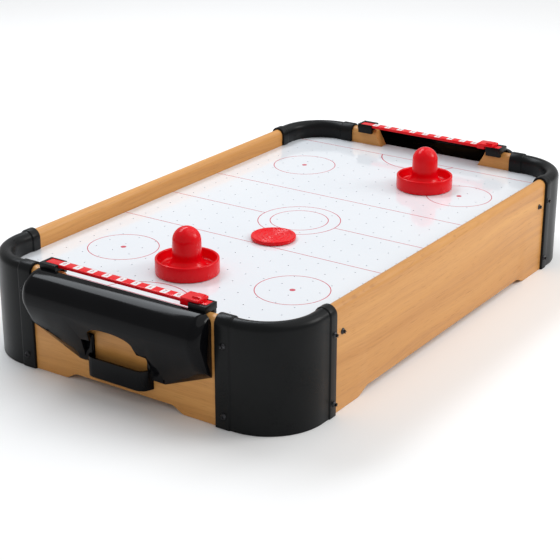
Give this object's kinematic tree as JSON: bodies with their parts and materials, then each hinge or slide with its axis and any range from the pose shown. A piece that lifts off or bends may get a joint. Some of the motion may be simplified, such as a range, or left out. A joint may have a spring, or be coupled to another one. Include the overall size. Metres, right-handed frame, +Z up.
{
  "type": "tabletop air hockey table",
  "caption": "Tabletop air hockey table: oak-look rails, black corner covers and goal boxes, sliding scorers, red pushers and puck, and a battery fan under the board.",
  "frame": {"origin": "centre of the bounding box, on the surface the table stands on", "axes": "+X along the table from the front goal to the back goal, +Y across it towards the switch side, +Z up"},
  "size_m": [0.545, 0.3186, 0.1135],
  "materials": {
    "oak_foil_panel": "golden oak foil on board, satin",
    "white_gloss_board": "white lacquered hardboard, high gloss, red printed rink lines",
    "brown_fibreboard": "raw brown hardboard",
    "black_satin_plastic": "moulded, satin",
    "black_gloss_plastic": "moulded, high gloss",
    "red_gloss_plastic": "moulded, gloss",
    "red_felt": "pressed felt",
    "black_zinc_steel": "black zinc plated screws",
    "zinc_plated_steel": "zinc plated can",
    "battery_jacket": "printed film jacket over a metal can",
    "black_wire": "flexible insulation"
  },
  "bodies": {
    "table": {"air_chamber_floor": "brown_fibreboard", "air_chamber_frame": "brown_fibreboard", "battery_box": "black_satin_plastic", "battery_cell_1": "battery_jacket", "battery_cell_2": "battery_jacket", "battery_cell_3": "battery_jacket", "battery_cell_4": "battery_jacket", "corner_cover_back_far": "black_satin_plastic", "corner_cover_back_near": "black_satin_plastic", "corner_cover_front_far": "black_satin_plastic", "corner_cover_front_near": "black_satin_plastic", "cover_screw_back_far_end_high": "black_zinc_steel", "cover_screw_back_far_end_low": "black_zinc_steel", "cover_screw_back_far_side_high": "black_zinc_steel", "cover_screw_back_far_side_low": "black_zinc_steel", "cover_screw_back_near_end_high": "black_zinc_steel", "cover_screw_back_near_end_low": "black_zinc_steel", "cover_screw_back_near_side_high": "black_zinc_steel", "cover_screw_back_near_side_low": "black_zinc_steel", "cover_screw_front_far_end_high": "black_zinc_steel", "cover_screw_front_far_end_low": "black_zinc_steel", "cover_screw_front_far_side_high": "black_zinc_steel", "cover_screw_front_far_side_low": "black_zinc_steel", "cover_screw_front_near_end_high": "black_zinc_steel", "cover_screw_front_near_end_low": "black_zinc_steel", "cover_screw_front_near_side_high": "black_zinc_steel", "cover_screw_front_near_side_low": "black_zinc_steel", "end_panel_back": "oak_foil_panel", "end_panel_front": "oak_foil_panel", "fan_housing": "black_satin_plastic", "fan_motor": "zinc_plated_steel", "frame_screw_back_far": "black_zinc_steel", "frame_screw_back_near": "black_zinc_steel", "frame_screw_front_far": "black_zinc_steel", "frame_screw_front_near": "black_zinc_steel", "goal_box_back": "black_gloss_plastic", "goal_box_front": "black_gloss_plastic", "inlet_guard": "black_satin_plastic", "lead_battery_to_switch": "black_wire", "lead_switch_to_motor": "black_wire", "playing_surface": "white_gloss_board", "score_block_back_far": "black_satin_plastic", "score_block_back_near": "black_satin_plastic", "score_block_front_far": "black_satin_plastic", "score_block_front_near": "black_satin_plastic", "score_scale_back": "red_gloss_plastic", "score_scale_front": "red_gloss_plastic", "side_panel_far": "oak_foil_panel", "side_panel_near": "oak_foil_panel", "switch_body": "black_satin_plastic"},
    "pusher_front": {"pusher_front": "red_gloss_plastic", "pusher_felt_front": "red_felt"},
    "pusher_back": {"pusher_back": "red_gloss_plastic", "pusher_felt_back": "red_felt"},
    "puck": {"puck": "red_gloss_plastic"},
    "score_slider_front": {"score_slider_front": "red_gloss_plastic"},
    "score_slider_back": {"score_slider_back": "red_gloss_plastic"},
    "battery_door": {"battery_door": "black_satin_plastic"},
    "switch_rocker": {"switch_rocker": "red_gloss_plastic"},
    "impeller": {"impeller": "black_satin_plastic"}
  },
  "joints": [
    {"name": "pusher_front_slide", "type": "slide", "parent": "table", "child": "pusher_front", "axis": [0, 1, 0], "range_m": [-0.122, 0.11]},
    {"name": "pusher_back_slide", "type": "slide", "parent": "table", "child": "pusher_back", "axis": [0, 1, 0], "range_m": [-0.069, 0.163]},
    {"name": "puck_slide", "type": "slide", "parent": "table", "child": "puck", "axis": [1, 0, 0], "range_m": [-0.057, 0.152]},
    {"name": "score_slider_front_slide", "type": "slide", "parent": "table", "child": "score_slider_front", "axis": [0, 1, 0], "range_m": [0, 0.122]},
    {"name": "score_slider_back_slide", "type": "slide", "parent": "table", "child": "score_slider_back", "axis": [0, 1, 0], "range_m": [0, 0.122]},
    {"name": "battery_door_slide", "type": "slide", "parent": "table", "child": "battery_door", "axis": [0, 1, 0], "range_m": [0, 0.025]},
    {"name": "switch_rocker_hinge", "type": "hinge", "parent": "table", "child": "switch_rocker", "pos_m": [-0.12, 0.1535, 0.031], "axis": [0, 0, 1], "range_deg": [0, 18]},
    {"name": "impeller_spin", "type": "hinge", "parent": "table", "child": "impeller", "pos_m": [0, 0, 0.04], "axis": [0, 0, 1], "continuous": true}
  ]
}
